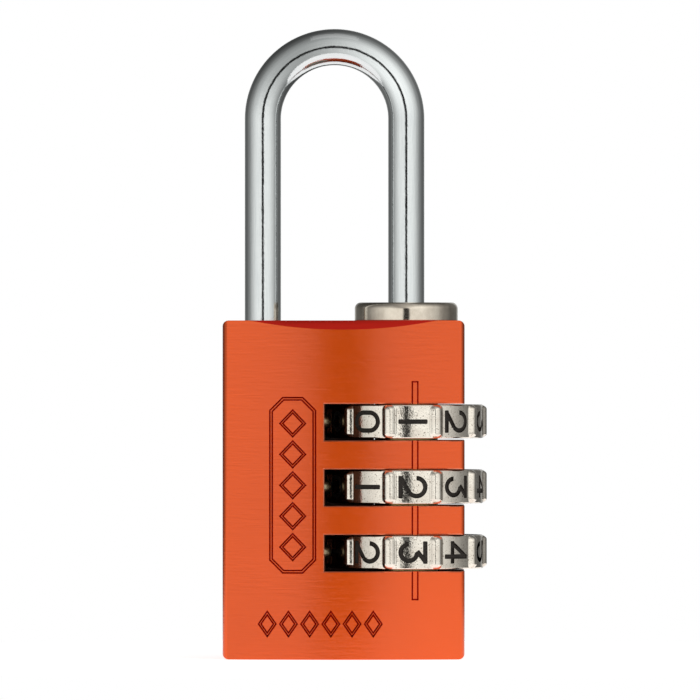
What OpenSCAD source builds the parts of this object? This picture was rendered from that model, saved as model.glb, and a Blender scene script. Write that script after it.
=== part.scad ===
// Combination padlock with three dials whose code can be reset.
// The dials, the sleeves that carry the code and the collar all stand on the shackle's long leg.
// Frame: +Z up, the front faces -Y, the origin is the middle of the body's flat foot.

/* [Body] */
// Width of the body
body_w = 20; // [20:0.5:22]
// Height of the body
body_h = 28; // [28:0.5:31]
// Thickness of the body at its middle
body_t = 12.5; // [12.2:0.1:13]
// Radius of the bowed front and back
bow_r = 39.5; // [36:0.5:60]
// Radius of the upright edges and of the corners seen from the front
edge_r = 0.5; // [0.3:0.1:0.7]
// Height of the bevel on the top edges, at the middle of the body
top_bevel = 0.76; // [0.5:0.02:0.9]
// Depth of the engraving in the front
engraving_d = 0.2; // [0.1:0.05:0.3]

/* [Shackle] */
// Diameter of the shackle's bar
bar_d = 3; // [2.9:0.05:3.05]
// Distance between the two legs' centres
leg_gap = 11.9; // [11.7:0.1:12.1]
// Height of the shackle above the body
shackle_h = 24.2; // [20:0.1:40]
// How far the shackle lifts when the lock opens
lift = 4; // [3.8:0.1:4]

/* [Collar] */
// Diameter of the collar
collar_d = 8.54; // [8:0.02:9]
// Height of the collar above the body
collar_h = 1.5; // [1.2:0.1:2]

/* [Dials] */
// Diameter over the dial's ribs
dial_d = 13.4; // [13.2:0.1:13.6]
// Diameter over the dial's numbered faces, between the ribs
face_d = 12.7; // [12.5:0.1:12.8]
// Thickness of a dial
dial_t = 2.77; // [2.7:0.01:2.8]
// Distance from one dial to the next
dial_pitch = 5.4; // [5.4:0.1:5.6]
// Height of a slot
slot_h = 3.03; // [2.95:0.01:3.1]
// How far a dial is turned when one of its numbers is on the index line
dial_turn = 4.8; // [4:0.1:6]

/* [Hidden] */
$fn = 64;

// Colours
anodised = "#D8481C";
nickel = "#C9C3B8";
plated = "#C4CBCF";
steel = "#9AA0A4";
brass = "#C8A860";

// Clearances
fit = 0.06;
free = 0.1;

// Places of the two legs and of the dials
long_leg_x = body_w / 2 - 4.8;
short_leg_x = long_leg_x - leg_gap;
first_dial_drop = 8.35;
function dial_z(n) = body_h - first_dial_drop - (n - 1) * dial_pitch;

// Bow of the front and back: each is an arc whose centre lies beyond the other face
bow_y = bow_r - body_t / 2;
corner_x = body_w / 2 - edge_r;
corner_y = sqrt(pow(bow_r - edge_r, 2) - pow(corner_x, 2)) - bow_y;
tangent_x = corner_x * bow_r / (bow_r - edge_r);

// Main bore, which holds the sleeves and the collar's spigot
bore_r = 3.4;
bore_floor = 1;
slot_r = dial_d / 2 + free;
slot_x = long_leg_x - slot_r;
slot_over_dial = 0.08;

// Shackle: the arch is a half ring, and the short leg goes less deep than the lift
bar_r = bar_d / 2;
arch_r = leg_gap / 2;
arch_z = body_h + shackle_h - bar_r - arch_r;
short_leg_z = body_h - lift + 0.4;
long_leg_z = bore_floor + 0.2;
tip_bevel = 0.3;

// Sleeves: a flange with the gate on top, a wide recess under it
sleeve_h = dial_pitch - 0.05;
sleeve_top = 2.5;
sleeve_r = 2.62;
flange_h = 1.9;
recess_r = 2.15;
gate_w = 1.3;
lug_w = 1;
lug_r = 3.2;
lug_z = 0.2;
lug_h = 1.1;

// Locking pins, each just under the flange of its sleeve
pin_r = 0.5;
pin_top = sleeve_top - flange_h - 0.3;
pin_reach = 2;
pin_depth = 0.9;

// Numbers engraved in a dial's faces
number_w = 1.8;
number_h = 2.3;
stroke = 0.32;
number_d = 0.2;

// Inside of a dial: ten notches above, a plain recess below
notch_r = 3.3;
notch_w = 1.25;
notch_z = 0.135;
dial_bore_r = sleeve_r + 0.08;
dial_edge_r = 0.33;
faces = 10;
face_step = 360 / faces;

// Thrust washer and reset spring below the last sleeve
washer_h = 0.4;
washer_top = dial_z(3) + sleeve_top - sleeve_h - 0.05;
washer_r = 2.9;
reset_wire_r = 0.22;
reset_coil_r = 2.3;

// Detents: a ball in a cross hole, just clear of the ribs' circle
ball_r = 0.75;
detent_r = ball_r + 0.05;
detent_angle = 22.8;
detent_y = -(face_d / 2 + ball_r) * sin(detent_angle);
ball_x = long_leg_x - sqrt(pow(dial_d / 2 + ball_r + 0.03, 2) - pow(detent_y, 2));
detent_floor_x = -7.2;
detent_wire_r = 0.12;
detent_coil_r = 0.55;

// Engraving on the front
index_x = 5.9;
index_w = 0.58;
index_top = body_h - 5;
index_foot = 4.9;
panel = [3.9, 14.6];
panel_at = [-4.2, 14.4];
panel_cut = 1.1;
groove_w = 0.33;
ring_w = 0.3;
foot_row_at = [-6.3, 2.95];

// A 2D shape drawn as seen from the front, cut into the bowed front to an even depth
module engraved() {
    difference() {
        rotate([90, 0, 0]) linear_extrude(body_t) children();
        translate([0, bow_y, -1]) cylinder(r = bow_r - engraving_d, h = body_h + 2);
    }
}

// A rectangle with its four corners cut off
module cut_panel(size, cut) {
    x = size[0] / 2;
    y = size[1] / 2;
    polygon([[-x + cut, -y], [x - cut, -y], [x, -y + cut], [x, y - cut],
        [x - cut, y], [-x + cut, y], [-x, y - cut], [-x, -y + cut]]);
}

// A diamond, and the ring that it leaves round a smaller one
module diamond(half_w, half_h) {
    polygon([[-half_w, 0], [0, -half_h], [half_w, 0], [0, half_h]]);
}

module diamond_ring(half_w, half_h) {
    inset = ring_w * norm([half_w, half_h]) / half_h;
    difference() {
        diamond(half_w, half_h);
        scale((half_w - inset) / half_w) diamond(half_w, half_h);
    }
}

// The groove round the panel, with a column of diamonds inside it
module panel_marks() {
    difference() {
        cut_panel(panel, panel_cut);
        cut_panel([panel[0] - 2 * groove_w, panel[1] - 2 * groove_w], panel_cut - 0.586 * groove_w);
    }
    for (k = [-2:2]) translate([0, 2.55 * k]) diamond_ring(1.15, 1.2);
}

// The row of small diamonds near the foot
module foot_marks() {
    for (k = [0:5]) translate([1.75 * k, 0]) diamond_ring(0.8, 1.15);
}

module body_plan() {
    intersection() {
        translate([0, bow_y]) circle(bow_r);
        translate([0, -bow_y]) circle(bow_r);
        square([2 * tangent_x, body_t], center = true);
    }
    square([body_w, 2 * corner_y], center = true);
    for (x = [-corner_x, corner_x], y = [-corner_y, corner_y]) translate([x, y]) circle(edge_r);
}

module body_outline() {
    translate([-body_w / 2, edge_r]) square([body_w, body_h - 2 * edge_r]);
    translate([-corner_x, 0]) square([2 * corner_x, body_h]);
    for (x = [-corner_x, corner_x], z = [edge_r, body_h - edge_r]) translate([x, z]) circle(edge_r);
}

module body_block() {
    low = body_h - top_bevel - 1;
    deep = body_t / 2 - top_bevel - 1;
    difference() {
        intersection() {
            linear_extrude(body_h) body_plan();
            rotate([90, 0, 0]) linear_extrude(body_t, center = true) body_outline();
        }
        for (side = [0, 1]) mirror([0, side, 0]) rotate([90, 0, 90])
            linear_extrude(body_w + 2, center = true)
                polygon([[-body_t / 2 - 1, low], [-deep, body_h + 1], [-body_t / 2 - 1, body_h + 1]]);
    }
}

// A slot's plan: straight in from the front as far as the dials' axis, then round the dial.
// On the right it is open to the back.
module slot_plan() {
    translate([slot_x, -body_t]) square([body_w, body_t]);
    translate([long_leg_x, 0]) circle(slot_r);
    translate([long_leg_x, -1]) square([body_w, body_t + 1]);
}

module lock_body() color(anodised) difference() {
    body_block();
    translate([long_leg_x, 0, bore_floor]) cylinder(r = bore_r, h = body_h);
    translate([short_leg_x, 0, short_leg_z - 0.5]) cylinder(r = bar_r + free, h = body_h);
    for (n = [1:3]) {
        translate([0, 0, dial_z(n) + dial_t / 2 + slot_over_dial - slot_h])
            linear_extrude(slot_h) slot_plan();
        translate([detent_floor_x, detent_y, dial_z(n)]) rotate([0, 90, 0])
            cylinder(r = detent_r, h = slot_x - detent_floor_x + 1);
    }
    engraved() translate([index_x - index_w / 2, index_foot]) square([index_w, index_top - index_foot]);
    engraved() translate(panel_at) panel_marks();
    engraved() translate(foot_row_at) foot_marks();
}

module top_collar() color(nickel) {
    round_r = 0.55;
    collar_r = collar_d / 2;
    spigot_z = dial_z(1) + sleeve_top + 0.05;
    chamber_z = dial_z(1) + pin_top + lift + 0.1;
    difference() {
        union() {
            translate([long_leg_x, 0, body_h]) rotate_extrude() {
                square([collar_r - round_r, collar_h]);
                square([collar_r, collar_h - round_r]);
                translate([collar_r - round_r, collar_h - round_r]) circle(round_r);
            }
            translate([long_leg_x, 0, spigot_z]) cylinder(r = bore_r - 0.005, h = body_h - spigot_z);
        }
        translate([long_leg_x, 0, 0]) cylinder(r = bar_r + 0.08, h = 2 * body_h);
        translate([long_leg_x, 0, spigot_z - 1]) cylinder(r = 2.3, h = chamber_z - spigot_z + 1);
    }
}

// One leg of the shackle, with a bevelled tip
module leg(x, foot_z) {
    translate([x, 0, foot_z]) cylinder(r1 = bar_r - tip_bevel, r2 = bar_r, h = tip_bevel);
    translate([x, 0, foot_z + tip_bevel]) cylinder(r = bar_r, h = arch_z - foot_z - tip_bevel);
}

module shackle() color(plated) difference() {
    union() {
        leg(short_leg_x, short_leg_z);
        leg(long_leg_x, long_leg_z);
        translate([(short_leg_x + long_leg_x) / 2, 0, arch_z]) rotate([90, 0, 0])
            rotate_extrude(angle = 180) translate([arch_r, 0]) circle(bar_r);
    }
    for (n = [1:3]) pin_at(n) cylinder(r = pin_r + 0.005, h = pin_reach + pin_depth + 1);
}

// Places a pin's axis: it starts inside the leg and points at the short leg
module pin_at(n) {
    translate([long_leg_x + pin_depth, 0, dial_z(n) + pin_top - pin_r]) rotate([0, -90, 0]) children();
}

module locking_pin(n) color(steel) pin_at(n) cylinder(r = pin_r, h = pin_reach + pin_depth);

// A straight stroke of a number, between two points
module bar(from, to) {
    run = to - from;
    translate(from) rotate(atan2(run[1], run[0])) translate([0, -stroke / 2]) square([norm(run), stroke]);
}

// A round stroke of a number: the part of a ring between two angles, at most half a turn apart
module curve(centre, radius, start, end) {
    reach = 2 * radius + stroke;
    translate(centre) difference() {
        circle(radius + stroke / 2);
        circle(radius - stroke / 2);
        rotate(end) translate([-reach, 0]) square([2 * reach, reach]);
        rotate(start) translate([-reach, -reach]) square([2 * reach, reach]);
    }
}

// A closed round stroke
module ring(centre, radius) {
    translate(centre) difference() {
        circle(radius + stroke / 2);
        circle(radius - stroke / 2);
    }
}

// A closed oval stroke, higher than it is wide
module oval(centre, width, height) {
    round_r = width / 2;
    translate(centre) difference() {
        union() {
            for (y = [height / 2 - round_r, round_r - height / 2]) translate([0, y]) circle(round_r);
            square([width, height - 2 * round_r], center = true);
        }
        union() {
            for (y = [height / 2 - round_r, round_r - height / 2]) translate([0, y]) circle(round_r - stroke);
            square([width - 2 * stroke, height - 2 * round_r], center = true);
        }
    }
}

// One number, upright and centred
module number(value) {
    x = (number_w - stroke) / 2;
    y = (number_h - stroke) / 2;
    edge_x = number_w / 2;
    edge_y = number_h / 2;
    low_r = 0.68;
    low_y = low_r - y;
    if (value == 0) oval([0, 0], number_w, number_h);
    if (value == 1) bar([0, -edge_y], [0, edge_y]);
    if (value == 2) {
        turn = 50;
        curve([0, y - x], x, 0, 180);
        curve([0, y - x], x, -turn, 0);
        bar([x * cos(turn), y - x - x * sin(turn)], [-x, -y]);
        bar([-edge_x, -y], [edge_x, -y]);
    }
    if (value == 3) {
        bar([-edge_x, y], [edge_x, y]);
        bar([x, y], [-0.1, low_y + low_r]);
        translate([-0.1, low_y + low_r]) circle(stroke / 2);
        curve([0, low_y], low_r, -90, 90);
        curve([0, low_y], low_r, 180, 270);
    }
    if (value == 4) {
        bar([0.35, -edge_y], [0.35, edge_y]);
        bar([-edge_x, -0.45], [edge_x, -0.45]);
        bar([0.35, edge_y - stroke / 2], [-x, -0.45]);
    }
    if (value == 5) {
        bar([-x - stroke / 2, y], [x, y]);
        bar([-x, y], [-x, low_y + low_r - stroke / 2]);
        bar([-x, low_y + low_r], [0, low_y + low_r]);
        curve([0, low_y], low_r, -90, 90);
        curve([0, low_y], low_r, 180, 270);
    }
    if (value == 6) {
        ring([0, low_y], low_r);
        bar([-low_r + 0.04, low_y + 0.2], [0.25, edge_y - 0.05]);
    }
    if (value == 7) {
        bar([-edge_x, y], [edge_x, y]);
        bar([x, y], [-0.35, -edge_y]);
    }
    if (value == 8) {
        ring([0, -0.42], y - 0.42);
        ring([0, y - 0.46], 0.46);
    }
    if (value == 9) rotate(180) number(6);
}

module dial(n) color(nickel) translate([long_leg_x, 0, dial_z(n)]) rotate([0, 0, dial_turn]) difference() {
    rib_r = dial_d / 2;
    face_r = face_d / 2;
    face_half = 1.38;
    flare = 0.25;
    translate([0, 0, -dial_t / 2]) rotate_extrude() {
        square([rib_r - dial_edge_r, dial_t]);
        translate([0, dial_edge_r]) square([rib_r, dial_t - 2 * dial_edge_r]);
        for (z = [dial_edge_r, dial_t - dial_edge_r]) translate([rib_r - dial_edge_r, z]) circle(dial_edge_r);
    }
    for (k = [1:faces]) rotate([0, 0, k * face_step]) linear_extrude(dial_t + 1, center = true)
        difference() {
            polygon([[-face_half, 0.5 - face_r], [face_half, 0.5 - face_r],
                [face_half + 2 * flare, -face_r - 1], [-face_half - 2 * flare, -face_r - 1]]);
            circle(face_r);
        }
    translate([0, 0, -dial_t]) cylinder(r = dial_bore_r, h = 2 * dial_t);
    translate([0, 0, notch_z - dial_t]) cylinder(r = notch_r, h = dial_t);
    for (k = [1:faces]) rotate([0, 0, k * face_step])
        translate([-notch_w / 2, -notch_r, notch_z - 1]) cube([notch_w, 1.5, dial_t]);
    for (value = [0:faces - 1]) rotate([0, 0, (value - n) * face_step])
        translate([0, number_d - face_r, 0]) rotate([90, 0, 0]) linear_extrude(1) rotate(-90) number(value);
}

module clutch_sleeve(n) color(brass) translate([long_leg_x, 0, dial_z(n)]) difference() {
    union() {
        translate([0, 0, sleeve_top - sleeve_h]) cylinder(r = sleeve_r, h = sleeve_h);
        rotate([0, 0, dial_turn]) translate([-lug_w / 2, -lug_r, lug_z]) cube([lug_w, 2 * lug_r, lug_h]);
    }
    translate([0, 0, -dial_pitch]) cylinder(r = bar_r + fit, h = 2 * dial_pitch);
    translate([0, 0, -dial_pitch]) cylinder(r = recess_r, h = dial_pitch + sleeve_top - flange_h);
    translate([-recess_r - 0.05, -gate_w / 2, 0]) cube([recess_r, gate_w, dial_pitch]);
}

module thrust_washer() color(steel) translate([long_leg_x, 0, washer_top - washer_h]) difference() {
    cylinder(r = washer_r, h = washer_h);
    translate([0, 0, -1]) cylinder(r = bar_r + 0.08, h = washer_h + 2);
}

// A coil of round wire that stands on Z = 0, as a tube swept round the axis
module coil_spring(coil_r, wire_r, height, turns, steps, sides) {
    count = turns * steps;
    rise = (height - 2 * wire_r) / count;
    rings = [for (i = [0:count]) for (k = [0:sides - 1])
        let (a = 360 * i / steps, b = 360 * k / sides, r = coil_r + wire_r * cos(b))
        [r * cos(a), r * sin(a), wire_r + i * rise + wire_r * sin(b)]];
    walls = [for (i = [0:count - 1]) for (k = [0:sides - 1]) for (half = [0, 1])
        let (a = i * sides + k, b = i * sides + (k + 1) % sides)
        half == 0 ? [a, b, b + sides] : [a, b + sides, a + sides]];
    start_cap = [for (k = [sides - 1:-1:0]) k];
    end_cap = [for (k = [0:sides - 1]) count * sides + k];
    polyhedron(rings, concat([start_cap], walls, [end_cap]), convexity = 10);
}

module reset_spring() color(steel) translate([long_leg_x, 0, bore_floor])
    coil_spring(reset_coil_r, reset_wire_r, washer_top - washer_h - bore_floor - 0.02, 5, 14, 6);

module detent_ball(n) color(steel) translate([ball_x, detent_y, dial_z(n)]) sphere(ball_r);

module detent_spring(n) color(steel) translate([detent_floor_x, detent_y, dial_z(n)]) rotate([0, 90, 0])
    coil_spring(detent_coil_r, detent_wire_r, ball_x - ball_r * 0.62 - detent_floor_x, 6, 10, 5);

lock_body();
top_collar();
shackle();
for (n = [1:3]) {
    locking_pin(n);
    dial(n);
    clutch_sleeve(n);
    detent_ball(n);
    detent_spring(n);
}
thrust_washer();
reset_spring();
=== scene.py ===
import math

import bmesh
import bpy
from mathutils import Matrix, Vector


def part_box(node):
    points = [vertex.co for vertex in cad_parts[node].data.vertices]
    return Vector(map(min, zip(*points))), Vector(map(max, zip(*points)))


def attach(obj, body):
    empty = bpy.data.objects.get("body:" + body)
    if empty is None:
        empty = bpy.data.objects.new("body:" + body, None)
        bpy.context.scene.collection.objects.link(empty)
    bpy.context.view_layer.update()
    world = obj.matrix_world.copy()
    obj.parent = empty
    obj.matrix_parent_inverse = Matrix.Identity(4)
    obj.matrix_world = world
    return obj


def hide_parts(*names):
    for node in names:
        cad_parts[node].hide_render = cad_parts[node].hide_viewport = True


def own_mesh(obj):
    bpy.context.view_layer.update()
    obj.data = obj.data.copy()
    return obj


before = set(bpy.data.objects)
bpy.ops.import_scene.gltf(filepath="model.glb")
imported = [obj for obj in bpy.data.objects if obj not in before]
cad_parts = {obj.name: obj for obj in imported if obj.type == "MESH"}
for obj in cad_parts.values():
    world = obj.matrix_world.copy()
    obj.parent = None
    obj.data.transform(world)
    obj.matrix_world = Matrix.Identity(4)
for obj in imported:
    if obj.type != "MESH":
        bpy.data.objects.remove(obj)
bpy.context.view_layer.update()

# ---- Lock body ---------------------------------------------------------------------------------
# One block of drawn aluminium with a bowed front and back and a crescent bevel along the top edges.
# It is brushed across, milled for the dials, the two legs and the engraving, then anodised orange.

MM = 0.001
UP = Vector((0, 0, 1))
TO_FRONT = Vector((0, -1, 0))


def new_material(name, **values):
    """A material whose shader takes plain values, such as Coat_Weight, and links for its patterns."""
    material = bpy.data.materials.new(name)
    material.use_nodes = True
    shader = material.node_tree.nodes["Principled BSDF"]
    for socket, value in values.items():
        shader.inputs[socket.replace("_", " ")].default_value = value
    return material


def add_node(material, kind, **settings):
    """A node in the material's tree, with its settings by attribute or by input name."""
    made = material.node_tree.nodes.new("ShaderNode" + kind)
    for name, value in settings.items():
        if hasattr(made, name):
            setattr(made, name, value)
        else:
            made.inputs[name.replace("_", " ")].default_value = value
    return made


def link(material, source, target, output=0):
    """Joins an output of one node to an input socket of another."""
    material.node_tree.links.new(source.outputs[output], target)


def drive(material, source, socket, output=0):
    """Joins an output of one node to an input of the material's shader."""
    link(material, source, material.node_tree.nodes["Principled BSDF"].inputs[socket], output)


def grain(material, per_mm, detail=3.0, attribute=None):
    """Noise with so many grains to a millimetre along X, Y and Z, on the object or on an attribute."""
    if attribute:
        place, output = add_node(material, "Attribute", attribute_name=attribute), 1
    else:
        place, output = add_node(material, "TexCoord"), 3
    scale = add_node(material, "Mapping", Scale=[k / MM for k in per_mm])
    noise = add_node(material, "TexNoise", Scale=1.0, Detail=detail, Roughness=0.6)
    link(material, place, scale.inputs["Vector"], output)
    link(material, scale, noise.inputs["Vector"])
    return noise


def ramp(material, source, *stops):
    """A colour or value curve over a 0 to 1 input, as (place, colour or grey) stops."""
    curve = add_node(material, "ValToRGB")
    elements = curve.color_ramp.elements
    while len(elements) < len(stops):
        elements.new(0.5)
    for element, (place, colour) in zip(elements, stops):
        element.position = place
        element.color = (*colour, 1) if isinstance(colour, tuple) else (colour, colour, colour, 1)
    link(material, source, curve.inputs["Fac"])
    return curve


def mix(material, factor, low, high, blend="MIX"):
    """Mixes two colours, each a colour or a node, by a factor that is a number or a node."""
    mixer = add_node(material, "Mix", data_type="RGBA", blend_type=blend)
    for socket, value in ((0, factor), (6, low), (7, high)):
        if isinstance(value, bpy.types.Node):
            link(material, value, mixer.inputs[socket], 2 if value.bl_idname == "ShaderNodeMix" else 0)
        else:
            mixer.inputs[socket].default_value = value if socket == 0 else (*value, 1)
    return mixer


def relief(material, *layers):
    """Stacks bump layers, each a height pattern and its depth in millimetres, on the shader."""
    under = None
    for height, depth in layers:
        bump = add_node(material, "Bump", Strength=1.0, Distance=depth * MM)
        link(material, height, bump.inputs["Height"], 2 if height.bl_idname == "ShaderNodeMix" else 0)
        if under:
            link(material, under, bump.inputs["Normal"])
        under = bump
    drive(material, under, "Normal")
    drive(material, under, "Coat Normal")


def brushed_anodising(name, colour, deep, sealed=0.8):
    """Dyed and sealed anodising over brush lines that run round the block. The dye drifts a little."""
    material = new_material(name, Metallic=1.0, Coat_Weight=sealed, Coat_Roughness=0.12)
    fine = grain(material, (0.9, 0.9, 10.0), detail=4.0)
    coarse = grain(material, (0.4, 0.4, 5.0))
    dye = grain(material, (0.16, 0.16, 0.1), detail=2.0)
    lines = mix(material, 0.5, fine, coarse)
    tone = mix(material, ramp(material, lines, (0.42, 0.0), (0.56, 1.0)), deep, colour)
    drift = mix(material, 1.0, tone, ramp(material, dye, (0.3, 0.95), (0.7, 1.0)), blend="MULTIPLY")
    drive(material, drift, "Base Color", 2)
    drive(material, ramp(material, lines, (0.42, 0.46), (0.58, 0.20)), "Roughness")
    relief(material, (fine, 0.006), (coarse, 0.012))
    return material


anodised = brushed_anodising("anodised_orange", (0.96, 0.126, 0.007), (0.64, 0.050, 0.002))
# The top bevel's anodising is a darker, deeper red: painted shade for the dim light above that it faces.
bevel_painted_shade = brushed_anodising("bevel_painted_shade", (0.95, 0.020, 0.006), (0.90, 0.016, 0.004), sealed=0.3)
# A lighter, paler orange paints a highlight on the broken edges of the slots.
edge_painted_highlight = brushed_anodising("edge_painted_highlight", (0.85, 0.22, 0.10), (0.80, 0.16, 0.06))
# A dark red paints shade on the sloped walls of the engraving.
engraving_painted_shade = brushed_anodising("engraving_painted_shade", (0.50, 0.005, 0.004), (0.38, 0.004, 0.003), sealed=0.2)
# Near black paints shade on the walls of the bores, holes and slots.
recess_painted_shade = brushed_anodising("recess_painted_shade", (0.12, 0.045, 0.025), (0.07, 0.025, 0.015), sealed=0.1)

block_low, block_high = (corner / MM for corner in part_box("lock_body"))
body_w = block_high.x - block_low.x
body_t = block_high.y - block_low.y
body_h = block_high.z - block_low.z
bow_r = 39.5
bow_y = bow_r - body_t / 2
edge_r = 0.5
top_bevel = 0.76
bow_steps = 110
corner_steps = 8


def bow_face(x):
    """The place along Y of the bowed front, at a place across it."""
    return bow_y - math.sqrt(bow_r**2 - x**2)


def verts_of(made):
    return [g for g in made if isinstance(g, bmesh.types.BMVert)]


def workpiece(name, bm, *materials):
    """An object from a bmesh, in millimetres while it is machined."""
    mesh = bpy.data.meshes.new(name)
    bm.normal_update()
    bm.to_mesh(mesh)
    bm.free()
    for material in materials:
        mesh.materials.append(material)
    piece = bpy.data.objects.new(name, mesh)
    bpy.context.scene.collection.objects.link(piece)
    return piece


def machine(piece, tool, operation="DIFFERENCE"):
    """Cuts the piece with a tool's shape. The cut walls take the tool's materials."""
    cut = piece.modifiers.new("cut", "BOOLEAN")
    cut.operation = operation
    cut.object = tool
    cut.solver = "EXACT"
    cut.material_mode = "TRANSFER"
    bpy.context.view_layer.update()
    depsgraph = bpy.context.evaluated_depsgraph_get()
    made = bpy.data.meshes.new_from_object(piece.evaluated_get(depsgraph))
    before = piece.data
    piece.modifiers.clear()
    piece.data = made
    bpy.data.meshes.remove(before)
    bpy.data.objects.remove(tool)


def settle(piece, body, slot, *nodes, sharp=30):
    """Smooths a finished piece up to its sharp edges, takes it to metres and puts it on its body."""
    piece.data.name = piece.name
    piece.data.shade_smooth()
    piece.data.set_sharp_from_angle(angle=math.radians(sharp))
    piece.data.transform(Matrix.Scale(MM, 4))
    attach(piece, body)
    if nodes:
        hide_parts(*nodes)


def block_tool(bm, low, high):
    """Adds a box between two corners to a bmesh."""
    size = Vector(high) - Vector(low)
    place = Matrix.Translation(Vector(low) + size / 2) @ Matrix.Diagonal((*size, 1))
    return bmesh.ops.create_cube(bm, size=1, matrix=place)["verts"]


def drill_tool(bm, start, end, start_r, end_r=None, segments=64):
    """Adds a round bar or cone between two points to a bmesh."""
    start, end = Vector(start), Vector(end)
    turn = UP.rotation_difference(end - start).to_matrix().to_4x4()
    place = Matrix.Translation((start + end) / 2) @ turn
    return bmesh.ops.create_cone(
        bm, cap_ends=True, segments=segments, radius1=start_r, radius2=end_r or start_r,
        depth=(end - start).length, matrix=place,
    )["verts"]


def arc(bm, vertex, centre, degrees, steps):
    """Draws an arc from a vertex round a centre, clockwise seen from above, and gives its last vertex."""
    swept = bmesh.ops.spin(
        bm, geom=[vertex], cent=centre, axis=UP, angle=-math.radians(degrees), steps=steps, use_merge=False,
    )
    return verts_of(swept["geom_last"])[0]


def plan_of_block(bm):
    """Half of the block's plan drawn as arcs, turned over for the other half, and filled."""
    corner_x = body_w / 2 - edge_r
    corner_y = math.sqrt((bow_r - edge_r) ** 2 - corner_x**2) - bow_y
    lean = math.asin(corner_x / (bow_r - edge_r))
    start = bm.verts.new((bow_r * math.sin(lean), bow_y - bow_r * math.cos(lean), 0))
    last = arc(bm, start, (0, bow_y, 0), 2 * math.degrees(lean), bow_steps)
    last = arc(bm, last, (-corner_x, -corner_y, 0), 90 - math.degrees(lean), corner_steps)
    side = bm.verts.new((-body_w / 2, corner_y, 0))
    bm.edges.new((last, side))
    arc(bm, side, (-corner_x, corner_y, 0), 90 - math.degrees(lean), corner_steps)
    copied = bmesh.ops.duplicate(bm, geom=bm.verts[:] + bm.edges[:])["geom"]
    half_turn = Matrix.Rotation(math.pi, 3, "Z")
    bmesh.ops.rotate(bm, verts=verts_of(copied), cent=(0, 0, 0), matrix=half_turn)
    bmesh.ops.remove_doubles(bm, verts=bm.verts[:], dist=1e-4)
    return bmesh.ops.contextual_create(bm, geom=bm.edges[:])["faces"]


bm = bmesh.new()
raised = bmesh.ops.extrude_face_region(bm, geom=plan_of_block(bm))["geom"]
bmesh.ops.translate(bm, verts=verts_of(raised), vec=UP * body_h)
bmesh.ops.recalc_face_normals(bm, faces=bm.faces[:])
lock_block = workpiece("lock_block", bm, anodised, bevel_painted_shade)

# Seen from the front the outline has small round corners, so the block is trimmed to such a slab.
bm = bmesh.new()
block_tool(bm, (-body_w / 2, -body_t, 0), (body_w / 2, body_t, body_h))
across = [e for e in bm.edges if abs((e.verts[0].co - e.verts[1].co).y) > body_t]
bmesh.ops.bevel(
    bm, geom=across, offset=edge_r, segments=corner_steps, profile=0.5, affect="EDGES", material=-1,
)
machine(lock_block, workpiece("outline_tool", bm, anodised), "INTERSECT")

# Two planes at 45 degrees take off the top edges, which are painted darker as painted shade, and every long
# edge is broken a little.
edge_break = 0.05
bm = bmesh.new()
bm.from_mesh(lock_block.data)
for side in (-1, 1):
    cut = bmesh.ops.bisect_plane(
        bm, geom=bm.verts[:] + bm.edges[:] + bm.faces[:], clear_outer=True,
        plane_co=(0, side * body_t / 2, body_h - top_bevel), plane_no=(0, side, 1),
    )["geom_cut"]
    bevel = bmesh.ops.contextual_create(bm, geom=[g for g in cut if isinstance(g, bmesh.types.BMEdge)])
    for face in bevel["faces"]:
        face.material_index = 1
bmesh.ops.remove_doubles(bm, verts=bm.verts[:], dist=1e-3)
bmesh.ops.recalc_face_normals(bm, faces=bm.faces[:])
crisp = [e for e in bm.edges if e.calc_face_angle(0) > math.radians(30)]
bmesh.ops.bevel(
    bm, geom=crisp, offset=edge_break, segments=2, profile=0.5, affect="EDGES", material=-1,
    clamp_overlap=True,
)
bm.to_mesh(lock_block.data)
bm.free()

# The bores for the two legs, the slots and the cross holes for the detents. The slots are only
# 0.02 mm clear of the dials' ribs, so that little light comes past them.
long_leg_x = 5.2
short_leg_x = -6.7
bore_r = 3.4
bore_floor = 1
leg_hole_r = 1.6
leg_hole_floor = 23.9
slot_x = -1.6
slot_r = 6.72
slot_h = 3.03
dial_heights = (19.65, 14.25, 8.85)
slot_over_dial = 1.465
detent_r = 0.8
detent_y = -2.7514
detent_floor_x = -7.2

# The drilled walls take the near black of painted shade.
bm = bmesh.new()
drill_tool(bm, (long_leg_x, 0, bore_floor), (long_leg_x, 0, body_h + 1), bore_r, segments=96)
drill_tool(bm, (short_leg_x, 0, leg_hole_floor), (short_leg_x, 0, body_h + 1), leg_hole_r)
for dial_z in dial_heights:
    start = (detent_floor_x, detent_y, dial_z)
    drill_tool(bm, start, (slot_x + 0.5, detent_y, dial_z), detent_r, segments=32)
machine(lock_block, workpiece("bore_tool", bm, recess_painted_shade))

# Each slot goes straight in from the front, then round the dial. On the right it is open behind.
# The slot walls take the near black of painted shade.
for way in ("front", "round", "open side"):
    bm = bmesh.new()
    for dial_z in dial_heights:
        high = dial_z + slot_over_dial
        low = high - slot_h
        if way == "front":
            block_tool(bm, (slot_x, -body_t, low), (body_w, 0, high))
        elif way == "round":
            drill_tool(bm, (long_leg_x, 0, low), (long_leg_x, 0, high), slot_r, segments=128)
        else:
            block_tool(bm, (long_leg_x, -1, low), (body_w, body_t, high))
    machine(lock_block, workpiece("slot_tool", bm, recess_painted_shade))


def sink(bm, flat, depth, slope):
    """Turns flat faces on Y = 0 into a cutter that stands out in front and slopes in behind them."""
    front = bmesh.ops.extrude_face_region(bm, geom=flat)["geom"]
    bmesh.ops.translate(bm, verts=verts_of(front), vec=TO_FRONT)
    bmesh.ops.recalc_face_normals(bm, faces=bm.faces[:])
    bm.normal_update()
    bmesh.ops.inset_region(bm, faces=flat, thickness=slope, depth=depth, use_even_offset=True)
    for face in flat:
        face.material_index = 1


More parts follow.
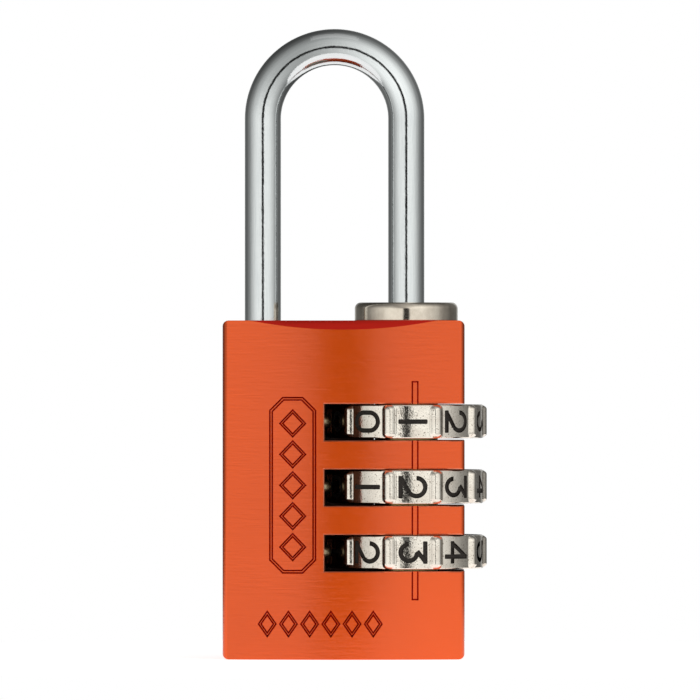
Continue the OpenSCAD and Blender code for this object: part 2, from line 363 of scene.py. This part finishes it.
def outline(bm, points):
    """A flat face on Y = 0 through a few corners, given as places across and up."""
    face = bm.faces.new([bm.verts.new((x, 0, z)) for x, z in points])
    face.normal_update()
    return face


def ring_inside(bm, points, width):
    """The flat faces of a ring of that width just inside an outline."""
    face = outline(bm, points)
    ring = bmesh.ops.inset_individual(bm, faces=[face], thickness=width, use_even_offset=True)["faces"]
    bmesh.ops.delete(bm, geom=[face], context="FACES_ONLY")
    return ring


def bend_to_bow(bm, step=0.5):
    """Bends a cutter that was made flat, so that it cuts the bowed front to an even depth."""
    for k in range(-round(body_w / 2 / step), round(body_w / 2 / step) + 1):
        whole = bm.verts[:] + bm.edges[:] + bm.faces[:]
        bmesh.ops.bisect_plane(bm, geom=whole, plane_co=(k * step, 0, 0), plane_no=(1, 0, 0))
    for vertex in bm.verts:
        vertex.co.y += bow_face(min(abs(vertex.co.x), body_w / 2))


# The edges of the slots are broken on the front and on the back, and the breaks are painted a lighter
# orange as a painted highlight.
slot_break = 0.09
slot_back_x = 2.75
for side, slot_end in ((1, slot_x), (-1, slot_back_x)):
    bm = bmesh.new()
    for dial_z in dial_heights:
        left, right = slot_end - slot_break, body_w
        low, high = dial_z + slot_over_dial - slot_h - slot_break, dial_z + slot_over_dial + slot_break
        opening = outline(bm, [(left, low), (right, low), (right, high), (left, high)])
        sink(bm, [opening], depth=slot_break + 0.02, slope=slot_break + 0.02)
    bend_to_bow(bm)
    bmesh.ops.scale(bm, verts=bm.verts[:], vec=(1, side, 1))
    bmesh.ops.recalc_face_normals(bm, faces=bm.faces[:])
    machine(lock_block, workpiece("edge_tool", bm, edge_painted_highlight, recess_painted_shade))

# The engraving: the index line, a panel groove round five diamonds, and six diamonds at the foot. Its
# sloped walls are painted dark red as painted shade.
engraving_d = 0.2
engraving_slope = 0.13
index_x = 5.9
index_half = 0.29
index_foot, index_top = 4.9, 23
groove_w = 0.33
ring_w = 0.3
panel_x = -4.2
panel_z = 14.4
panel_half_w = 1.95
panel_half_h = 7.3
panel_cut = 1.1
panel_pitch = 2.55
panel_diamond = (1.15, 1.2)
foot_row_x = -6.3
foot_row_z = 2.95
foot_row_pitch = 1.75
foot_diamond = (0.8, 1.15)


def index_line(bm):
    corners = [(index_x - index_half, index_foot), (index_x + index_half, index_foot)]
    corners += [(index_x + index_half, index_top), (index_x - index_half, index_top)]
    sink(bm, [outline(bm, corners)], engraving_d, engraving_slope)


def cut_panel(bm, x, z, half_w, half_h, cut):
    """A groove along a panel's edge, whose corners are cut off."""
    quarter = [(half_w - cut, -half_h), (half_w, cut - half_h)]
    corners = quarter + [(a, -b) for a, b in quarter[::-1]]
    corners += [(-a, -b) for a, b in corners]
    sink(bm, ring_inside(bm, [(x + a, z + b) for a, b in corners], groove_w), engraving_d, engraving_slope)


def diamond(bm, x, z, half_w, half_h):
    corners = [(x - half_w, z), (x, z - half_h), (x + half_w, z), (x, z + half_h)]
    sink(bm, ring_inside(bm, corners, ring_w), engraving_d, engraving_slope)


bm = bmesh.new()
index_line(bm)
cut_panel(bm, panel_x, panel_z, panel_half_w, panel_half_h, panel_cut)
for k in range(-2, 3):
    diamond(bm, panel_x, panel_z + panel_pitch * k, *panel_diamond)
for k in range(6):
    diamond(bm, foot_row_x + foot_row_pitch * k, foot_row_z, *foot_diamond)
bend_to_bow(bm)
machine(lock_block, workpiece("engraving_tool", bm, engraving_painted_shade, anodised))

settle(lock_block, "case", "anodised_aluminium", "lock_body")

# The bowed faces are many narrow strips, so they are shaded as the true arcs that they stand for.
mesh = lock_block.data
shading = [Vector()] * len(mesh.loops)
strip_turn = math.cos(math.radians(0.6))
for face in mesh.polygons:
    bow_middle = Vector((0, math.copysign(bow_y * MM, -face.normal.y), 0))
    if face.normal.dot(((face.center - bow_middle) * Vector((1, 1, 0))).normalized()) > strip_turn:
        for corner in face.loop_indices:
            place = mesh.vertices[mesh.loops[corner].vertex_index].co
            shading[corner] = ((place - bow_middle) * Vector((1, 1, 0))).normalized()
mesh.normals_split_custom_set(shading)

# ---- Dials -------------------------------------------------------------------------------------
# Three nickel-plated zinc castings with a raised rib between each two of their ten numbers, and
# ten notches inside. The numbers are pressed in and filled with black paint.

dial_t = 2.77
rib_r = 6.7
face_r = 6.35
rim_break = 0.1
faces = 10
face_step = math.radians(360 / faces)
dial_bore_r = 2.7
notch_r = 3.3
notch_w = 1.25
notch_z = 0.135
rib_half_w = 0.6
rib_rise = 0.5
rib_straight = 2
section_cuts = 27


def cast_nickel():
    """Satin plating over a slightly rough casting, with small brown specks and a darker film in places."""
    material = new_material("cast_nickel", Metallic=1.0)
    peel = grain(material, (2.0, 2.0, 2.0), detail=1.0)
    specks = grain(material, (8.0, 8.0, 8.0), detail=2.0)
    film = grain(material, (0.7, 0.7, 0.7), detail=4.0)
    clean, filmed = (0.92, 0.84, 0.745), (0.78, 0.69, 0.60)
    plating = mix(material, ramp(material, film, (0.35, 0.0), (0.68, 1.0)), clean, filmed)
    specked = mix(material, ramp(material, specks, (0.30, 1.0), (0.40, 0.0)), plating, (0.22, 0.16, 0.12))
    drive(material, specked, "Base Color", 2)
    drive(material, ramp(material, peel, (0.3, 0.13), (0.7, 0.07)), "Roughness")
    relief(material, (peel, 0.010), (specks, 0.008))
    return material


def number_filling():
    """Matt black-brown paint that has shrunk unevenly in the pressed numbers."""
    material = new_material("number_paint", Specular_IOR_Level=0.3)
    crumbs = grain(material, (14.0, 14.0, 14.0), detail=4.0)
    black, brown = (0.010, 0.008, 0.006), (0.05, 0.036, 0.028)
    paint = mix(material, ramp(material, crumbs, (0.35, 0.0), (0.75, 1.0)), black, brown)
    drive(material, paint, "Base Color", 2)
    drive(material, ramp(material, crumbs, (0.3, 0.75), (0.7, 0.5)), "Roughness")
    relief(material, (crumbs, 0.02))
    return material


def dial_radius(angle, z):
    """The casting's outer radius at an angle from the middle of a face: its ribs have round ends."""
    off_rib = face_step / 2 - abs((angle + face_step / 2) % face_step - face_step / 2)
    across = off_rib * rib_r
    along = max(abs(z) - rib_straight / 2, 0) * rib_half_w / ((dial_t - rib_straight) / 2 - 0.02)
    up_the_side = min(max((rib_half_w - math.hypot(along, across)) / rib_rise, 0), 1)
    return face_r + (rib_r - face_r) * math.sin(up_the_side * math.pi / 2)


# The blank is turned from its section, finer across the ribs, and its outside is pressed to shape.
half_t = dial_t / 2
bm = bmesh.new()
section = [(notch_r, -half_t), (rib_r, -half_t), (rib_r, half_t), (dial_bore_r, half_t)]
section += [(dial_bore_r, notch_z), (notch_r, notch_z)]
corners = [bm.verts.new((0, -r, z)) for r, z in section]
section_edges = [bm.edges.new((a, b)) for a, b in zip(corners, corners[1:] + corners[:1])]
bmesh.ops.subdivide_edges(bm, edges=[section_edges[1]], cuts=section_cuts)
swept = bm.verts[:] + bm.edges[:]
for k in range(faces):
    for degrees, steps in ((12, 8), (6, 12), (6, 12), (12, 8)):
        swept = bmesh.ops.spin(
            bm, geom=swept, cent=(0, 0, 0), axis=UP, angle=math.radians(degrees), steps=steps,
            use_merge=False,
        )["geom_last"]
bmesh.ops.remove_doubles(bm, verts=bm.verts[:], dist=1e-4)
bmesh.ops.recalc_face_normals(bm, faces=bm.faces[:])
rims = [
    e for e in bm.edges
    if all(abs(v.co.xy.length - rib_r) < 1e-3 and abs(abs(v.co.z) - half_t) < 1e-3 for v in e.verts)
]
bmesh.ops.bevel(bm, geom=rims, offset=rim_break, segments=3, profile=0.5, affect="EDGES", material=-1)
for vertex in bm.verts:
    radius = vertex.co.xy.length
    if radius > rib_r - 2 * rim_break:
        angle = math.atan2(vertex.co.x, -vertex.co.y)
        vertex.co.xy *= (radius - rib_r + dial_radius(angle, vertex.co.z)) / radius
dial_blank = workpiece("dial_blank", bm, cast_nickel())

# Ten notches for the sleeve's lugs
bm = bmesh.new()
for k in range(faces):
    low, high = (-notch_w / 2, -notch_r, notch_z - 0.5), (notch_w / 2, -notch_r + 1.2, dial_t)
    notch = block_tool(bm, low, high)
    bmesh.ops.rotate(bm, verts=notch, cent=(0, 0, 0), matrix=Matrix.Rotation(k * face_step, 3, "Z"))
machine(dial_blank, workpiece("notch_tool", bm, dial_blank.data.materials[0]))

# The numbers, each a few strokes of one width. They lie on their side, with their tops to the right.
number_d = 0.2
number_w = 1.86
number_h = 2.42
stroke = 0.38
stroke_round = 0.07


def bar(bm, start, end):
    """A straight stroke between two points."""
    start, end = Vector((*start, 0)), Vector((*end, 0))
    run = end - start
    turn = Matrix.Rotation(math.atan2(run.y, run.x), 4, "Z")
    made = block_tool(bm, (0, -stroke / 2, 0), (run.length, stroke / 2, 1))
    corners = set(made)
    uprights = [
        e for e in bm.edges
        if e.verts[0] in corners and abs((e.verts[0].co - e.verts[1].co).z) > 0.5
    ]
    island = bmesh.ops.bevel(
        bm, geom=uprights, offset=stroke_round, segments=3, profile=0.5, affect="EDGES", material=-1,
    )
    made = list(set(verts_of(made) + island["verts"]) & set(bm.verts))
    bmesh.ops.transform(bm, verts=made, matrix=Matrix.Translation(start) @ turn)
    return made


def curve(bm, centre, radius, start, end):
    """A round stroke between two angles in degrees, or a whole ring."""
    whole = end - start >= 360
    inner, outer = radius - stroke / 2, radius + stroke / 2
    places = ((inner, 0), (outer, 0), (outer, 1), (inner, 1))
    corners = [bm.verts.new((x, 0, z)) for x, z in places]
    edges = [bm.edges.new((a, b)) for a, b in zip(corners, corners[1:] + corners[:1])]
    section = corners + edges
    if not whole:
        section += bmesh.ops.contextual_create(bm, geom=edges)["faces"]
    before = set(bm.verts) - set(corners)
    turn = Matrix.Rotation(math.radians(start), 3, "Z")
    bmesh.ops.rotate(bm, verts=corners, cent=(0, 0, 0), matrix=turn)
    steps = max(4, round((end - start) / 9))
    bmesh.ops.spin(
        bm, geom=section, cent=(0, 0, 0), axis=UP, angle=math.radians(end - start), steps=steps,
        use_merge=whole,
    )
    made = list(set(bm.verts) - before)
    bmesh.ops.translate(bm, verts=made, vec=(*centre, 0))
    return made


reach_x = (number_w - stroke) / 2
reach_y = (number_h - stroke) / 2
end_x = number_w / 2
end_y = number_h / 2
bowl_r = 0.68
bowl_y = bowl_r - reach_y
oval_y = reach_y - reach_x
turn_of_two = math.radians(50)
neck_of_two = (reach_x * math.cos(turn_of_two), oval_y - reach_x * math.sin(turn_of_two))
six = [
    (curve, (0, bowl_y), bowl_r, 0, 360),
    (bar, (0.04 - bowl_r, bowl_y + 0.2), (0.25, end_y - 0.05)),
]
numbers = {
    0: [
        (curve, (0, oval_y), reach_x, 0, 180),
        (curve, (0, -oval_y), reach_x, 180, 359.9),
        (bar, (reach_x, -oval_y - 0.05), (reach_x, oval_y + 0.05)),
        (bar, (-reach_x, -oval_y - 0.05), (-reach_x, oval_y + 0.05)),
    ],
    1: [(bar, (0, -end_y), (0, end_y))],
    2: [
        (curve, (0, oval_y), reach_x, -50, 180),
        (bar, neck_of_two, (-reach_x, -reach_y)),
        (bar, (-end_x, -reach_y), (end_x, -reach_y)),
    ],
    3: [
        (bar, (-end_x, reach_y), (end_x, reach_y)),
        (bar, (reach_x, reach_y), (-0.12, bowl_y + bowl_r)),
        (curve, (0, bowl_y), bowl_r, -180, 92),
    ],
    4: [
        (bar, (0.35, -end_y), (0.35, end_y)),
        (bar, (-end_x, -0.45), (end_x, -0.45)),
        (bar, (0.35, end_y - stroke / 2), (-reach_x, -0.45)),
    ],
    5: [
        (bar, (-end_x, reach_y), (reach_x, reach_y)),
        (bar, (-reach_x, end_y), (-reach_x, bowl_y + bowl_r - stroke / 2)),
        (bar, (-reach_x - stroke / 2, bowl_y + bowl_r), (0, bowl_y + bowl_r)),
        (curve, (0, bowl_y), bowl_r, -180, 90),
    ],
    6: six,
    7: [
        (bar, (-end_x, reach_y), (end_x, reach_y)),
        (bar, (reach_x, reach_y), (-0.35, -end_y)),
    ],
    8: [
        (curve, (0, -0.42), reach_y - 0.42, 0, 360),
        (curve, (0, reach_y - 0.46), 0.46, 0, 360),
    ],
    9: six,
}
paint = number_filling()
lying = Matrix.Rotation(math.radians(90), 4, "X") @ Matrix.Rotation(math.radians(-90), 4, "Z")
for layer in range(max(len(strokes) for strokes in numbers.values())):
    bm = bmesh.new()
    for value, strokes in numbers.items():
        if layer < len(strokes):
            cutter, *places = strokes[layer]
            made = cutter(bm, *places)
            upright = Matrix.Rotation(math.pi, 4, "Z") if value == 9 else Matrix.Identity(4)
            onto_face = Matrix.Translation((0, number_d - face_r, 0))
            round_dial = Matrix.Rotation(value * face_step, 4, "Z")
            bmesh.ops.transform(bm, verts=made, matrix=round_dial @ onto_face @ lying @ upright)
    bmesh.ops.recalc_face_normals(bm, faces=bm.faces[:])
    machine(dial_blank, workpiece("number_tool", bm, paint))

# Each dial is set with its own number on the index line, a little past the middle of the face.
dial_turn = math.radians(4.8)
for n, dial_z in enumerate(dial_heights, start=1):
    dial = bpy.data.objects.new(f"number_dial_{n}", dial_blank.data.copy())
    bpy.context.scene.collection.objects.link(dial)
    set_to_code = Matrix.Rotation(dial_turn - n * face_step, 4, "Z")
    dial.data.transform(Matrix.Translation((long_leg_x, 0, dial_z)) @ set_to_code)
    settle(dial, f"dial_{n}", "nickel_dial", f"dial_{n}", sharp=40)
bpy.data.objects.remove(dial_blank)

# ---- Top collar --------------------------------------------------------------------------------
# A turned brass collar with a nickel finish. Its spigot is pressed into the main bore and its own
# bore guides the long leg. Under it is the room in which the first locking pin rises.

collar_r = 4.27
collar_h = 1.5
collar_round = 0.5
collar_bore_r = 1.58
spigot_r = 3.395
spigot_z = 22.2
chamber_r = 2.3
chamber_z = 24.05


def rim_at(bm, radius, z):
    """The edges of a turned piece that run round it at that radius and height."""
    return [
        e for e in bm.edges
        if all(abs(v.co.xy.length - radius) < 1e-3 and abs(v.co.z - z) < 1e-3 for v in e.verts)
    ]


def turned_nickel():
    """Plating over fine turning lines that run round the collar, dulled in patches by handling."""
    material = new_material("turned_nickel", Metallic=1.0)
    lines = grain(material, (0.25, 0.25, 22.0), detail=4.0)
    patches = grain(material, (1.1, 1.1, 0.8), detail=2.0)
    clean, dulled = (0.80, 0.70, 0.59), (0.62, 0.53, 0.44)
    tone = mix(material, ramp(material, patches, (0.35, 0.0), (0.7, 1.0)), clean, dulled)
    drive(material, tone, "Base Color", 2)
    drive(material, ramp(material, lines, (0.3, 0.15), (0.7, 0.08)), "Roughness")
    relief(material, (lines, 0.0005), (patches, 0.004))
    return material


# Points just past each rounded rim keep the wall and the top beside it flat in their shading.
collar_top = body_h + collar_h
keeps_flat = 0.03
foot_round = 0.04
mouth_round = 0.08
bm = bmesh.new()
section = [(collar_bore_r, collar_top), (collar_r - collar_round - keeps_flat, collar_top)]
section += [(collar_r, collar_top), (collar_r, collar_top - collar_round - keeps_flat)]
section += [(collar_r, body_h + foot_round + keeps_flat), (collar_r, body_h), (spigot_r, body_h)]
section += [(spigot_r, spigot_z), (chamber_r, spigot_z), (chamber_r, chamber_z)]
section += [(collar_bore_r, chamber_z)]
corners = [bm.verts.new((r, 0, z)) for r, z in section]
for a, b in zip(corners, corners[1:] + corners[:1]):
    bm.edges.new((a, b))
swept = bm.verts[:] + bm.edges[:]
bmesh.ops.spin(bm, geom=swept, cent=(0, 0, 0), axis=UP, angle=2 * math.pi, steps=96, use_merge=True)
bmesh.ops.remove_doubles(bm, verts=bm.verts[:], dist=1e-4)
bmesh.ops.recalc_face_normals(bm, faces=bm.faces[:])
for radius, z, size, segments in (
    (collar_r, collar_top, collar_round, 10),
    (collar_bore_r, collar_top, mouth_round, 3),
    (collar_r, body_h, foot_round, 2),
):
    rim = rim_at(bm, radius, z)
    bmesh.ops.bevel(bm, geom=rim, offset=size, segments=segments, profile=0.5, affect="EDGES", material=-1)
bmesh.ops.translate(bm, verts=bm.verts[:], vec=(long_leg_x, 0, 0))
settle(workpiece("leg_collar", bm, turned_nickel()), "case", "nickel_collar", "top_collar")

# ---- Shackle -----------------------------------------------------------------------------------
# A drawn steel bar with bevelled ends, bent round a former into an arch and then plated. The long
# leg stands in the body and carries three locking pins. The short leg only enters the body.

bar_r = 1.5
arch_r = 5.95
arch_z = 44.75
long_leg_z = 1.2
short_leg_z = 24.4
tip_bevel = 0.3
bar_sides = 64
long_steps = 12
bend_steps = 96
short_steps = 8


def plated_bar():
    """Bright plating over draw lines that follow the bar round the arch, with small marks."""
    material = new_material("plated_bar", Metallic=1.0)
    lines = grain(material, (7.0, 7.0, 0.35), detail=5.0, attribute="straight_bar")
    flecks = grain(material, (4.0, 4.0, 2.2), detail=4.0, attribute="straight_bar")
    drawn, bright = (0.70, 0.715, 0.72), (0.77, 0.78, 0.78)
    tone = mix(material, ramp(material, lines, (0.35, 0.0), (0.65, 1.0)), drawn, bright)
    drive(material, tone, "Base Color", 2)
    drive(material, ramp(material, flecks, (0.3, 0.10), (0.7, 0.05)), "Roughness")
    relief(material, (lines, 0.003), (flecks, 0.006))
    return material


straight_run = arch_z - long_leg_z
bent_run = math.pi * arch_r
last_run = arch_z - short_leg_z
bm = bmesh.new()
end = bmesh.ops.create_circle(bm, cap_ends=True, segments=bar_sides, radius=bar_r)["verts"]
end_face = end[0].link_faces[0]
lengths = [straight_run / long_steps] * long_steps
lengths += [bent_run / bend_steps] * bend_steps
lengths += [last_run / short_steps] * short_steps
for length in lengths:
    grown = bmesh.ops.extrude_face_region(bm, geom=[end_face])["geom"]
    end_face = next(g for g in grown if isinstance(g, bmesh.types.BMFace))
    bmesh.ops.translate(bm, verts=verts_of(grown), vec=UP * length)
bmesh.ops.recalc_face_normals(bm, faces=bm.faces[:])
tips = rim_at(bm, bar_r, 0) + rim_at(bm, bar_r, sum(lengths))
bmesh.ops.bevel(bm, geom=tips, offset=tip_bevel, segments=2, profile=0.5, affect="EDGES", material=-1)

# The straight bar is kept as an attribute for the draw lines, then bent.
straight_bar = bm.verts.layers.float_vector.new("straight_bar")
for vertex in bm.verts:
    vertex[straight_bar] = vertex.co * MM
    off_axis, y, past = vertex.co.x, vertex.co.y, vertex.co.z - straight_run
    turn = min(max(past, 0) / arch_r, math.pi)
    beyond = past - turn * arch_r
    radius = arch_r + off_axis
    round_arch = Vector((radius * math.cos(turn), y, radius * math.sin(turn)))
    onward = Vector((0, 0, beyond if turn < math.pi else -beyond))
    vertex.co = Vector((long_leg_x - arch_r, 0, arch_z)) + round_arch + onward
bmesh.ops.recalc_face_normals(bm, faces=bm.faces[:])
settle(workpiece("bent_shackle", bm, plated_bar()), "shackle", "plated_bar", "shackle")

# ---- Locking pins, washer and detent balls -----------------------------------------------------
# Small turned steel pieces. The pins are pressed into the long leg, the washer spreads the reset
# spring's push, and the balls click between the ribs of the dials.


def turned_steel(name, clean, stained):
    """Plain steel with fine lines from turning and hardening stains."""
    material = new_material(name, Metallic=1.0)
    lines = grain(material, (6.0, 6.0, 18.0), detail=4.0)
    stains = grain(material, (1.6, 1.6, 1.6), detail=4.0)
    tone = mix(material, ramp(material, stains, (0.35, 0.0), (0.7, 1.0)), clean, stained)
    drive(material, tone, "Base Color", 2)
    drive(material, ramp(material, lines, (0.3, 0.38), (0.7, 0.24)), "Roughness")
    relief(material, (lines, 0.006))
    return material


bright_steel = turned_steel("turned_steel", (0.56, 0.56, 0.55), (0.40, 0.38, 0.35))
oiled_steel = turned_steel("oiled_steel", (0.42, 0.36, 0.24), (0.28, 0.22, 0.13))
for name in ["thrust_washer"] + [f"locking_pin_{n}" for n in (1, 2, 3)]:
    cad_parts[name].data.materials.clear()
    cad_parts[name].data.materials.append(bright_steel)
for n in (1, 2, 3):
    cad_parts[f"detent_ball_{n}"].data.materials.clear()
    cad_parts[f"detent_ball_{n}"].data.materials.append(oiled_steel)

# ---- Clutch sleeves ----------------------------------------------------------------------------
# Brass sleeves, one in each dial, with two lugs that turn with the dial. Pressed down together,
# they leave the dials' notches so that a new code can be set.


def sleeve_brass():
    """Machined brass, a little tarnished, with turning lines."""
    material = new_material("sleeve_brass", Metallic=1.0)
    lines = grain(material, (0.4, 0.4, 14.0), detail=4.0)
    tarnish = grain(material, (0.9, 0.9, 0.9), detail=4.0)
    clean, tarnished = (0.74, 0.52, 0.22), (0.46, 0.29, 0.12)
    tone = mix(material, ramp(material, tarnish, (0.35, 0.0), (0.7, 1.0)), clean, tarnished)
    drive(material, tone, "Base Color", 2)
    drive(material, ramp(material, lines, (0.3, 0.40), (0.7, 0.26)), "Roughness")
    relief(material, (lines, 0.006))
    return material


brass = sleeve_brass()
for n in (1, 2, 3):
    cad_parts[f"clutch_sleeve_{n}"].data.materials.clear()
    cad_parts[f"clutch_sleeve_{n}"].data.materials.append(brass)

# ---- Springs -----------------------------------------------------------------------------------
# Coils of round spring wire. The large one lies under the washer in the main bore. A small one
# stands behind each detent ball in its cross hole.


def spring_wire():
    """Oiled spring wire with a brown temper colour in places."""
    material = new_material("spring_wire", Metallic=1.0)
    temper = grain(material, (3.0, 3.0, 3.0), detail=4.0)
    steel, brown = (0.46, 0.46, 0.46), (0.30, 0.25, 0.20)
    tone = mix(material, ramp(material, temper, (0.35, 0.0), (0.7, 1.0)), steel, brown)
    drive(material, tone, "Base Color", 2)
    drive(material, ramp(material, temper, (0.3, 0.34), (0.7, 0.22)), "Roughness")
    relief(material, (temper, 0.004))
    return material


def coil(name, place, coil_r, wire_r, height, turns, material, node):
    """A spring wound round the Z axis from its foot, then put in its place."""
    bm = bmesh.new()
    upright = Matrix.Translation((coil_r, 0, wire_r)) @ Matrix.Rotation(math.radians(90), 4, "X")
    bmesh.ops.create_circle(bm, cap_ends=True, segments=12, radius=wire_r, matrix=upright)
    steps = turns * 32
    bmesh.ops.spin(
        bm, geom=bm.verts[:] + bm.edges[:] + bm.faces[:], cent=(0, 0, 0), axis=UP, steps=steps,
        angle=2 * math.pi * turns, dvec=UP * (height - 2 * wire_r) / steps, use_merge=False,
    )
    bmesh.ops.recalc_face_normals(bm, faces=bm.faces[:])
    bmesh.ops.transform(bm, verts=bm.verts[:], matrix=place)
    spring = workpiece(name, bm, material)
    settle(spring, "case", "spring_steel", node)
    return spring


wire = spring_wire()
foot = Matrix.Translation((long_leg_x, 0, bore_floor))
reset_coil_r = 2.3
reset_wire_r = 0.22
reset_h = 4.53
reset_turns = 5
reset_coil = coil(
    "reset_coil", foot, reset_coil_r, reset_wire_r, reset_h, reset_turns, wire, "reset_spring",
)
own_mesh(reset_coil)

detent_coil_r = 0.55
detent_wire_r = 0.12
detent_coil_h = 4.979
detent_turns = 6
lying_across = Matrix.Rotation(math.radians(90), 4, "Y")
for n, dial_z in enumerate(dial_heights, start=1):
    coil(
        f"detent_coil_{n}", Matrix.Translation((detent_floor_x, detent_y, dial_z)) @ lying_across,
        detent_coil_r, detent_wire_r, detent_coil_h, detent_turns, wire, f"detent_spring_{n}",
    )

# ---- Stage, lights and camera ------------------------------------------------------------------
# The lock stands on a small round white table inside a light tent. The tent is bright in front, with
# two large lit panels, to the upper right and the lower left, and a small dark opening for the lens.
# One weak even light hangs overhead.


def glowing_table():
    """White acrylic with a soft light under it."""
    material = new_material("glowing_table", Roughness=0.8, Specular_IOR_Level=0.0)
    sheet = grain(material, (0.004, 0.004, 0.004), detail=2.0)
    drive(material, ramp(material, sheet, (0.3, 0.86), (0.7, 0.9)), "Base Color")
    shader = material.node_tree.nodes["Principled BSDF"]
    shader.inputs["Emission Color"].default_value = (1, 1, 1, 1)
    shader.inputs["Emission Strength"].default_value = 0.8
    return material


table_r = 60
table_gap = 0.02
bm = bmesh.new()
bmesh.ops.create_circle(bm, cap_ends=True, segments=96, radius=table_r * MM)
bmesh.ops.translate(bm, verts=bm.verts[:], vec=(0, 0, -table_gap * MM))
table_top = workpiece("table_top", bm, glowing_table())

lock_middle = Vector((0, 0, 0.026))
light_distance = 1.25


def softbox(name, azimuth, elevation, width, height, radiance):
    """A large even panel that faces the lock from an azimuth, 0 in front and 90 on the right."""
    a, e = math.radians(azimuth), math.radians(elevation)
    outward = Vector((math.sin(a) * math.cos(e), -math.cos(a) * math.cos(e), math.sin(e)))
    light = bpy.data.lights.new(name, "AREA")
    light.shape = "RECTANGLE"
    light.size = width
    light.size_y = height
    light.energy = radiance * math.pi * width * height
    lamp = bpy.data.objects.new(name, light)
    bpy.context.scene.collection.objects.link(lamp)
    lamp.location = lock_middle + outward * light_distance
    lamp.rotation_mode = "QUATERNION"
    lamp.rotation_quaternion = outward.to_track_quat("Z", "Y")
    lamp.visible_camera = False


softbox("top_light", 0, 80, 0.7, 0.7, 0.15)

world = bpy.data.worlds.new("light_tent")
bpy.context.scene.world = world
world.use_nodes = True
tree = world.node_tree


def tent_maths(operation, *values):
    """A calculation on numbers and node outputs."""
    made = tree.nodes.new("ShaderNodeMath")
    made.operation = operation
    for socket, value in zip(made.inputs, values):
        if isinstance(value, bpy.types.NodeSocket):
            tree.links.new(value, socket)
        else:
            socket.default_value = value
    return made.outputs[0]


def tent_ramp(place, *stops):
    """Brightness along a 0 to 1 place on the tent, as (place, brightness) stops."""
    curve = tree.nodes.new("ShaderNodeValToRGB")
    elements = curve.color_ramp.elements
    while len(elements) < len(stops):
        elements.new(0.5)
    for element, (where, brightness) in zip(elements, stops):
        element.position = where
        element.color = (brightness, brightness, brightness, 1)
    tree.links.new(place, curve.inputs["Fac"])
    return curve.outputs["Color"]


tent_place = tree.nodes.new("ShaderNodeTexCoord")
tent_axes = tree.nodes.new("ShaderNodeSeparateXYZ")
tree.links.new(tent_place.outputs["Generated"], tent_axes.inputs["Vector"])
across, back, up = tent_axes.outputs

# Bright in front, dim at the sides, dark behind them, and lit again at the back
depth = tent_ramp(
    tent_maths("MULTIPLY_ADD", back, 0.5, 0.5),
    *[
        ((1 - math.cos(math.radians(from_the_lens))) / 2, light)
        for from_the_lens, light in ((0, 1.0), (40, 0.95), (90, 0.3), (120, 0.13), (150, 0.13), (180, 0.6))
    ],
)

# The two panels lie across from each other round the lens, 60 degrees to the right of straight up.
round_the_lens = tent_maths("ARCTAN2", across, up)
two_panels = tent_maths("COSINE", tent_maths("MULTIPLY_ADD", round_the_lens, 2, -2 * math.radians(60)))
panels = tent_maths("MULTIPLY_ADD", two_panels, 0.28, 0.62)

# The dark opening
across_squared = tent_maths("MULTIPLY", across, across)
up_squared = tent_maths("MULTIPLY", up, up)
off_axis = tent_maths("POWER", tent_maths("ADD", across_squared, up_squared), 0.5)
opening = tree.nodes.new("ShaderNodeMapRange")
opening.interpolation_type = "SMOOTHSTEP"
tree.links.new(off_axis, opening.inputs["Value"])
for name, number in (("From Min", 0.10), ("From Max", 0.15), ("To Min", 0.03), ("To Max", 1.40)):
    opening.inputs[name].default_value = number
tent = tree.nodes["Background"]
tent.inputs["Color"].default_value = (0.97, 1.0, 0.985, 1)
glow = tent_maths("MULTIPLY", tent_maths("MULTIPLY", depth, panels), opening.outputs["Result"])
tree.links.new(glow, tent.inputs["Strength"])

# Seen past the lock, the tent is plain white.
backdrop = tree.nodes.new("ShaderNodeBackground")
backdrop.inputs["Color"].default_value = (1, 1, 1, 1)
rays = tree.nodes.new("ShaderNodeLightPath")
choose = tree.nodes.new("ShaderNodeMixShader")
tree.links.new(rays.outputs["Is Camera Ray"], choose.inputs["Fac"])
tree.links.new(tent.outputs["Background"], choose.inputs[1])
tree.links.new(backdrop.outputs["Background"], choose.inputs[2])
tree.links.new(choose.outputs["Shader"], tree.nodes["World Output"].inputs["Surface"])
bpy.context.scene.view_settings.view_transform = "Standard"

# A long lens 1 m in front of the lock, about level with its middle
lens = bpy.data.cameras.new("long_lens")
lens.lens = 619.6
lens.sensor_width = 36
lens.clip_end = 20
camera = bpy.data.objects.new("long_lens", lens)
bpy.context.scene.collection.objects.link(camera)
camera.location = (0.00053, -1.0, 0.02556)
camera.rotation_euler = (math.radians(90), 0, 0)
bpy.context.scene.camera = camera
